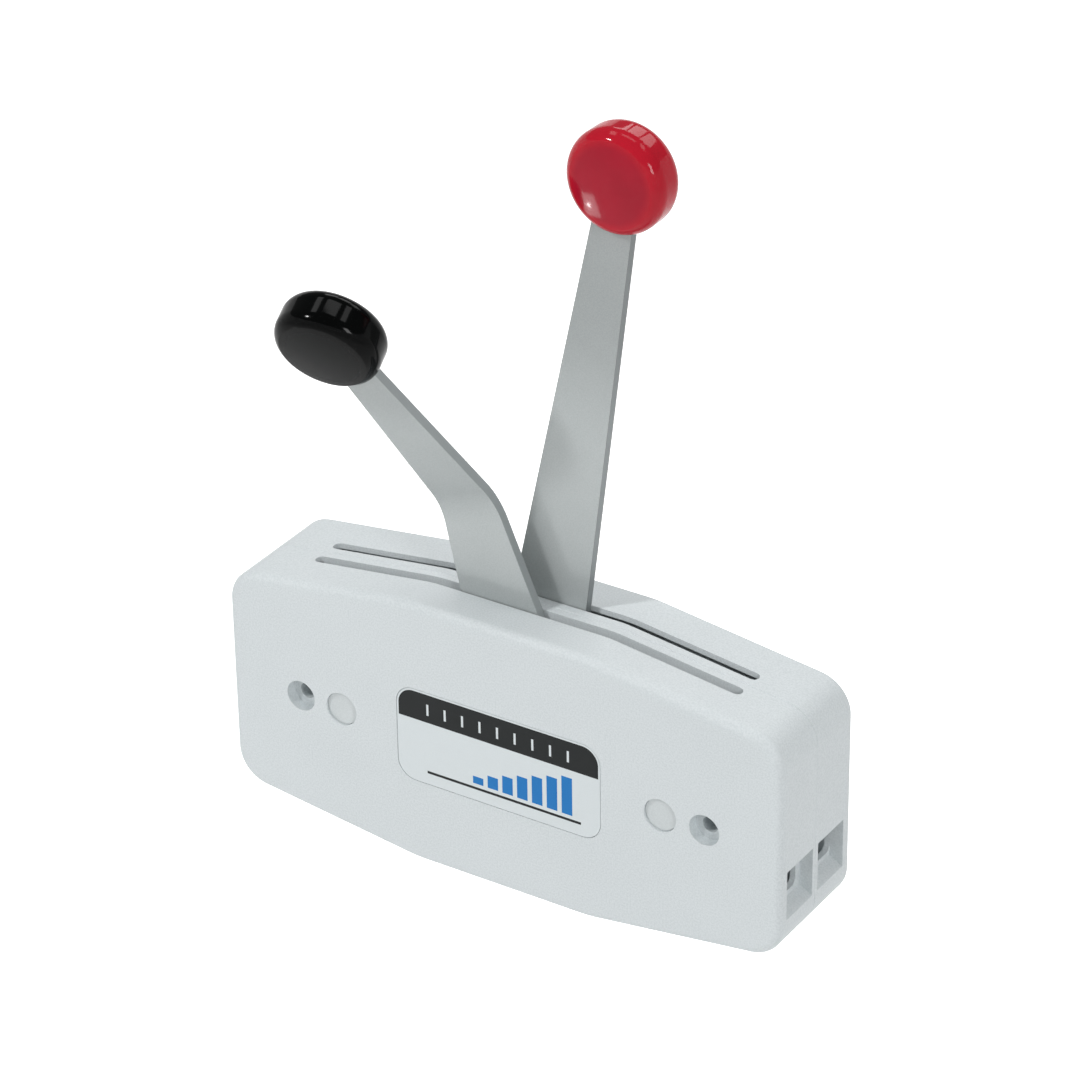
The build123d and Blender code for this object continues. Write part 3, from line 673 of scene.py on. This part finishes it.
@dataclass
class Knob:
    """A turned knob: two shallow crowned faces, small rounded rims and a full barrel edge.

    Sizes are in millimetres and match the knob's solid, whose box it stays in by a hair. Lean is the lever's
    angle from upright and tilt is how far its blade is bent out towards the helm, both in degrees.
    """

    lever: Lever
    finish: GlossMoulding
    lean: float
    tilt: float
    diameter: float = 42.98
    face: float = 35.6
    band_half: float = 2.8
    rim_radius: float = 6.8
    crown_rise: float = 1.2
    crown_fade: float = 3.0
    edge_round: float = 1.3
    rim_steps: int = 26
    edge_steps: int = 10
    crown_steps: int = 24
    steps_around: int = 160

    def profile(self) -> np.ndarray:
        """Half of the barrel's outline, mirrored: crown arc, edge round, rim arc and straight band.

        Returns:
            Rows of radius and height in metres, by rising height.
        """
        turn = math.acos(1 - (self.diameter - self.face) / 2 / self.rim_radius)
        corner = self.band_half + self.rim_radius * math.sin(turn)
        sphere = ((self.face / 2) ** 2 + self.crown_rise ** 2) / (2 * self.crown_rise)
        rim = np.array([self.diameter / 2 - self.rim_radius, self.band_half])
        crown = np.array([0.0, corner + self.crown_rise - sphere])
        # The edge round touches the crown arc and the rim arc from inside, so its centre lies where these two
        # arcs meet once its radius is taken off both
        inner_crown, inner_rim = sphere - self.edge_round, self.rim_radius - self.edge_round
        apart = crown - rim
        gap = float(np.hypot(*apart))
        along = (inner_rim ** 2 - inner_crown ** 2 + gap ** 2) / (2 * gap)
        aside = math.sqrt(inner_rim ** 2 - along ** 2) * np.array([-apart[1], apart[0]]) / gap
        # They meet on both sides of the axis, and the outer meeting point is the one wanted
        edge = max((rim + along * apart / gap + way * aside for way in (-1, 1)), key=lambda spot: spot[0])
        from_rim = math.degrees(math.atan2(*(edge - rim)[::-1]))
        from_crown = math.degrees(math.atan2(*(edge - crown)[::-1]))
        half = np.concatenate([
            arc(tuple(rim), self.rim_radius, 0.0, from_rim, self.rim_steps),
            arc(tuple(edge), self.edge_round, from_rim, from_crown, self.edge_steps)[1:],
            arc(tuple(crown), sphere, from_crown, 90.0, self.crown_steps)[1:],
        ])
        half[-1, 0] = 0.0
        return np.concatenate([half[::-1] * [1, -1], half]) * MM

    def crown(self, profile: np.ndarray) -> np.ndarray:
        """Return 1 for profile rows on the crowned faces, falling evenly to 0 at the rim."""
        return np.clip((self.face / 2 - profile[:, 0] / MM) / self.crown_fade, 0.0, 1.0)

    def seat(self) -> tuple[Vector, Vector]:
        """Find the middle of the knob's solid and its axis, square to the blade there.

        Returns:
            The middle and the unit axis.
        """
        lean, tilt = math.radians(self.lean), math.radians(self.tilt)
        outward = Vector((0.0, -1.0, 0.0))
        along = Vector((math.sin(lean), 0.0, math.cos(lean)))
        across = along.cross(outward)
        axis = outward * math.cos(tilt) - along * math.sin(tilt)
        ways = np.array([axis, across, axis.cross(across)])
        mesh = frame["nodes"][f"{self.lever.value}_knob"].data
        corners = np.empty(3 * len(mesh.vertices))
        mesh.vertices.foreach_get("co", corners)
        spans = corners.reshape(-1, 3) @ ways.T
        return Vector((spans.min(axis=0) + spans.max(axis=0)) / 2 @ ways), axis

    def build(self) -> None:
        """Make the knob where its solid is, in its place."""
        name = f"{self.lever.value}_knob"
        centre, axis = self.seat()
        profile = self.profile()
        piece = turned_piece(f"{name}_moulding", profile, self.crown(profile), centre, axis, self.steps_around,
                             f"{self.lever.value}_arm", self.finish.material())
        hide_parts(name)


@dataclass(frozen=True)
class Palette:
    """Every finish of the control but the label's."""

    # ABS with a spark-eroded grain looks pale and dry, with no clear reflection anywhere
    housing: MouldedPlastic = MouldedPlastic("Spark-grained ABS, pale grey", "C8CFD1", "D6DCDE",
                                             roughness=0.5, grain_mm=0.75, grain_depth_mm=0.05)
    # Polyethylene is smoother and a little greyer and waxier than the housing round it
    snap_cap: MouldedPlastic = MouldedPlastic("Snap-in polyethylene cap", "C3C9CA", "CCD2D3",
                                              roughness=0.4, grain_mm=0.6, grain_depth_mm=0.02)
    # Glass fibres near the skin make the dark nylon dull and slightly flecked
    separator: MouldedPlastic = MouldedPlastic("Glass-filled nylon, dark grey", "2B2D2F", "3A3C3E",
                                               roughness=0.55, grain_mm=0.5, grain_depth_mm=0.03)
    # The lining's threads in their binder give a brown, matt and coarse face
    friction_lining: MouldedPlastic = MouldedPlastic("Woven friction lining", "4A3A2C", "6B5644",
                                                     roughness=0.8, grain_mm=0.8, grain_depth_mm=0.1)
    # Acetal is milky white with a faint slippery sheen
    bush_plastic: MouldedPlastic = MouldedPlastic("Acetal, natural white", "D5D2C8", "E0DDD4",
                                                  roughness=0.38, grain_mm=0.4, grain_depth_mm=0.01)
    # Turning leaves fine rings on a bright grey metal. The shafts lie along Y, so the marks are short that way
    steel: WorkedMetal = WorkedMetal("Turned stainless steel", "B9BBBC", "8E9192", metallic=1.0,
                                     roughness=0.3, mark_mm=0.25, stretch=(1.0, 4.0, 1.0))
    # Tempering turns spring steel dark, with a warm tint where its scale is thick
    spring_steel: WorkedMetal = WorkedMetal("Tempered spring steel", "7F7F80", "55524F", metallic=1.0,
                                            roughness=0.35, mark_mm=0.5)
    # Anodised strip is matt and even. The shift lever's sheared edges get a paler painted light, and less
    # painted shade below its knob
    shift_blade: PressedBlade = PressedBlade(edge_shade="9BA1A2", worn_share=0.9, worn_near_mm=20.0,
                                             worn_far_mm=60.0)
    throttle_blade: PressedBlade = PressedBlade()
    # Free-cutting brass is a clean yellow with turning rings round the rod ends, which lie roughly along X
    rod_end_brass: WorkedMetal = WorkedMetal("Turned free-cutting brass", "C9A75B", "A58342", metallic=1.0,
                                             roughness=0.28, mark_mm=0.3, stretch=(4.0, 1.0, 1.0))
    # Polished phenolic is almost black and mirrors its room on the rim, while its faces are left satin. Its
    # faces are painted a little paler than its rim, as painted sheen
    shift_knob: GlossMoulding = GlossMoulding("Polished phenolic, black", "050606", "0A0C0C",
                                              rim_roughness=0.08, face_roughness=0.3, specular=0.07)
    # The red knob is polished all over, so its faces mirror lamps as its rim does. Its rim is painted a
    # brighter red than its faces, for how light falls on each
    throttle_knob: GlossMoulding = GlossMoulding("Polished phenolic, signal red", "B41A2B", "A2142A",
                                                 rim_roughness=0.06, face_roughness=0.06, specular=0.14)


@dataclass
class Housing:
    """The housing with its label, and the solids on it and in it, which keep their shape and are dressed."""

    palette: Palette
    label_centre_mm: tuple[float, float] = (0.0, -0.5)

    def dress(self) -> None:
        """Give every solid of the control its finish: its own where it has one, its slot's elsewhere."""
        slots = {part["node"]: part["material_slot"] for part in frame["record"]["subparts"]}
        own = {"label_plate": PrintedFilm().material(self.label_centre_mm),
               "screw_caps": self.palette.snap_cap.material()}
        blades = {Lever.SHIFT: self.palette.shift_blade, Lever.THROTTLE: self.palette.throttle_blade}
        for lever, blade in blades.items():
            low, high = (Vector(corner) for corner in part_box(f"{lever.value}_knob"))
            own[f"{lever.value}_lever"] = blade.material((low + high) / 2)
        shared: dict[str, bpy.types.Material] = {}
        for node, slot in slots.items():
            if node not in own and slot not in shared:
                shared[slot] = getattr(self.palette, slot).material()
            solid = frame["nodes"][node].data
            solid.materials.clear()
            solid.materials.append(own[node] if node in own else shared[slot])
            log.info("%s: %s", node, solid.materials[0].name)


@dataclass(frozen=True)
class SoftBox:
    """Rectangular lamp that faces the control. Its place and size are in metres."""

    name: str
    place: tuple[float, float, float]
    size: tuple[float, float]
    watts: float

    def hang(self, aim: Vector) -> None:
        """Hang the lamp in its place.

        Args:
            aim: the point that it faces.
        """
        data = bpy.data.lights.new(self.name, "AREA")
        data.shape = "RECTANGLE"
        data.size, data.size_y = self.size
        data.energy = self.watts
        turn = (aim - Vector(self.place)).to_track_quat("-Z", "Y").to_matrix().to_4x4()
        add_object(self.name, data).matrix_world = Matrix.Translation(self.place) @ turn


@dataclass(frozen=True)
class PaneRow:
    """Row of three soft boxes, which the gloss of a knob's barrel shows as a barred window.

    Middle is the second pane's place and pitch the way from one pane to the next, in metres.
    """

    name: str
    middle: tuple[float, float, float]
    pitch: tuple[float, float, float]
    size: tuple[float, float]
    watts: float
    count: int = 3

    def pane(self, number: int) -> SoftBox:
        """Place one pane of the row, which has its share of the watts.

        Args:
            number: 1, 2 or 3.

        Returns:
            The pane.
        """
        steps = number - (self.count + 1) // 2
        place = tuple(mid + steps * way for mid, way in zip(self.middle, self.pitch))
        return SoftBox(f"{self.name}_pane_{number}", place, self.size, self.watts / self.count)


@dataclass
class Studio:
    """White sweep, soft boxes and the camera where the photographer stood.

    The camera's angles are in degrees and its places in millimetres from the housing's middle. The floor's
    sizes, the end of the camera's sight and the lamps' aim are in metres.
    """

    azimuth: float = 33.06
    elevation: float = 29.579
    roll: float = 0.869
    lens_mm: float = 149.418
    sensor_mm: float = 36.0
    sight_end: float = 50.0
    sideways: float = 2.356
    upwards: float = 76.57
    distance: float = 1800.643
    middle: tuple[float, float, float] = (0.0, -27.0, 0.0)
    floor_drop: float = 0.35
    floor_rings: tuple[float, ...] = (0.02, 1.0, 2.0)
    floor_steps: int = 96
    floor_shade: str = "F4F4F4"
    floor_glow_shade: str = "FFFFFF"
    floor_glow: float = 0.65
    cove_reach: float = 3.0
    cove_bend: float = 0.5
    cove_steps: int = 12
    cove_height: float = 1.7
    ambient: float = 0.22
    backdrop: str = "FFFFFF"
    aim: tuple[float, float, float] = (0.0, -0.03, 0.08)
    # The two low lamps put a soft square of light with a bright spot on the throttle knob's face
    lamps: tuple[SoftBox, ...] = (
        SoftBox("key", (-1.1, -1.5, 1.55), (0.2, 0.2), 22.4),
        SoftBox("side", (1.6, -1.0, 0.95), (0.45, 0.6), 14.5),
        SoftBox("low_front", (-0.48, -0.59, -0.23), (0.09, 0.11), 0.24),
        SoftBox("low_spot", (-0.475, -0.575, -0.222), (0.018, 0.018), 0.08),
    )
    pane_rows: tuple[PaneRow, ...] = (
        PaneRow("back", (-0.2, 1.4, 1.5), (0.62, 0.0, 0.0), (0.54, 0.45), 10.8),
        PaneRow("overhead", (0.0, 0.12, 2.0), (0.9, 0.2, 0.0), (0.8, 0.34), 11.5),
    )

    def place_camera(self) -> None:
        """Stand the camera off along its own back axis and make it the scene's camera."""
        a, e, r = (math.radians(v) for v in (self.azimuth, self.elevation, self.roll))
        right = Vector((math.cos(a), math.sin(a), 0))
        up = Vector((-math.sin(a) * math.sin(e), math.cos(a) * math.sin(e), math.cos(e)))
        back = Vector((math.sin(a) * math.cos(e), -math.cos(a) * math.cos(e), math.sin(e)))
        level = right * math.cos(r) - up * math.sin(r)
        rise = right * math.sin(r) + up * math.cos(r)
        place = Vector(self.middle) + level * self.sideways + rise * self.upwards + back * self.distance
        data = bpy.data.cameras.new("camera")
        data.lens = self.lens_mm
        data.sensor_width = self.sensor_mm
        data.clip_end = self.sight_end
        camera = add_object("camera", data)
        turn = Matrix((level, rise, back)).transposed().to_4x4()
        camera.matrix_world = Matrix.Translation(place * MM) @ turn
        bpy.context.scene.camera = camera

    def paint_world(self) -> None:
        """Light evenly from all sides, the same for every ray."""
        world = bpy.data.worlds.new("studio")
        bpy.context.scene.world = world
        world.use_nodes = True
        tree = world.node_tree
        tree.nodes.clear()
        light = add_node(tree, "ShaderNodeBackground",
                         {"Color": linear(self.backdrop), "Strength": self.ambient})
        add_node(tree, "ShaderNodeOutputWorld", {"Surface": light.outputs[0]})

    def sweep_paper(self) -> bpy.types.Material:
        """Build the floor's material: white paper that also glows for rays from the camera and from gloss.

        Paper scatters light evenly and keeps the control's shadow. The glow lifts it to the white of the photo
        without lighting the control, apart from what its gloss mirrors.

        Returns:
            The material.
        """
        material, tree, _ = new_material("White paper sweep")
        ray = add_node(tree, "ShaderNodeLightPath").outputs
        seen = ray["Is Camera Ray"]
        for kind in ("Is Glossy Ray", "Is Transmission Ray"):
            seen = add_node(tree, "ShaderNodeMath", {0: seen, 1: ray[kind]}, operation="MAXIMUM").outputs[0]
        paper = add_node(tree, "ShaderNodeBsdfDiffuse", {"Color": linear(self.floor_shade)})
        glow = add_node(tree, "ShaderNodeEmission",
                        {"Color": linear(self.floor_glow_shade), "Strength": self.floor_glow})
        lit = add_node(tree, "ShaderNodeAddShader", {0: paper.outputs[0], 1: glow.outputs[0]})
        mixed = add_node(tree, "ShaderNodeMixShader", {0: seen, 1: paper.outputs[0], 2: lit.outputs[0]})
        add_node(tree, "ShaderNodeOutputMaterial", {"Surface": mixed.outputs[0]})
        return material

    def lay_floor(self) -> None:
        """Lay the pale floor well below the housing: a round cove whose rim turns up into a wall.

        Its profile is flat rings, a quarter circle that turns up, and the wall's top, carried round Z. A face
        closes the smallest ring.
        """
        bend = np.linspace(0, math.pi / 2, self.cove_steps)
        profile = np.concatenate([
            [[radius, 0.0] for radius in self.floor_rings],
            np.stack([self.cove_reach + self.cove_bend * np.sin(bend),
                      self.cove_bend * (1 - np.cos(bend))], axis=1),
            [[self.cove_reach + self.cove_bend, self.cove_height]],
        ])
        profile[:, 1] += cad_box[0][2] - self.floor_drop
        rings = swept_rings(profile, Vector((1, 0, 0)), Vector((0, 1, 0)), Vector((0, 0, 1)), self.floor_steps)
        # The cove is seen from inside, so its faces go round the other way than a turned piece's
        quads = ring_quads(len(rings), self.floor_steps)[:, [0, 3, 2, 1]]
        floor = add_object("floor", smooth_mesh("floor", rings.reshape(-1, 3),
                                                [list(range(self.floor_steps))] + quads.tolist()))
        floor.data.materials.append(self.sweep_paper())

    def build(self) -> None:
        """Set the camera, the sweep and the lamps."""
        self.place_camera()
        self.paint_world()
        self.lay_floor()
        aim = Vector(self.aim)
        for lamp in self.lamps:
            lamp.hang(aim)
        for number in (1, 2, 3):
            for row in self.pane_rows:
                row.pane(number).hang(aim)
        bpy.context.scene.view_settings.view_transform = "Standard"


@dataclass
class BoatControl:
    """The whole control: its finishes, its two knobs and its studio."""

    palette: Palette = field(default_factory=Palette)
    studio: Studio = field(default_factory=Studio)

    def build(self) -> None:
        """Dress the solids, then add the knobs, the floor and the lights."""
        Housing(self.palette).dress()
        Knob(Lever.SHIFT, self.palette.shift_knob, lean=-18.0, tilt=29.0).build()
        Knob(Lever.THROTTLE, self.palette.throttle_knob, lean=9.9, tilt=0.0).build()
        self.studio.build()


def main() -> None:
    """Build the control and its studio, and report each piece."""
    logging.basicConfig(level=logging.INFO, format="%(name)s: %(message)s")
    BoatControl().build()


if __name__ == "__main__":
    main()
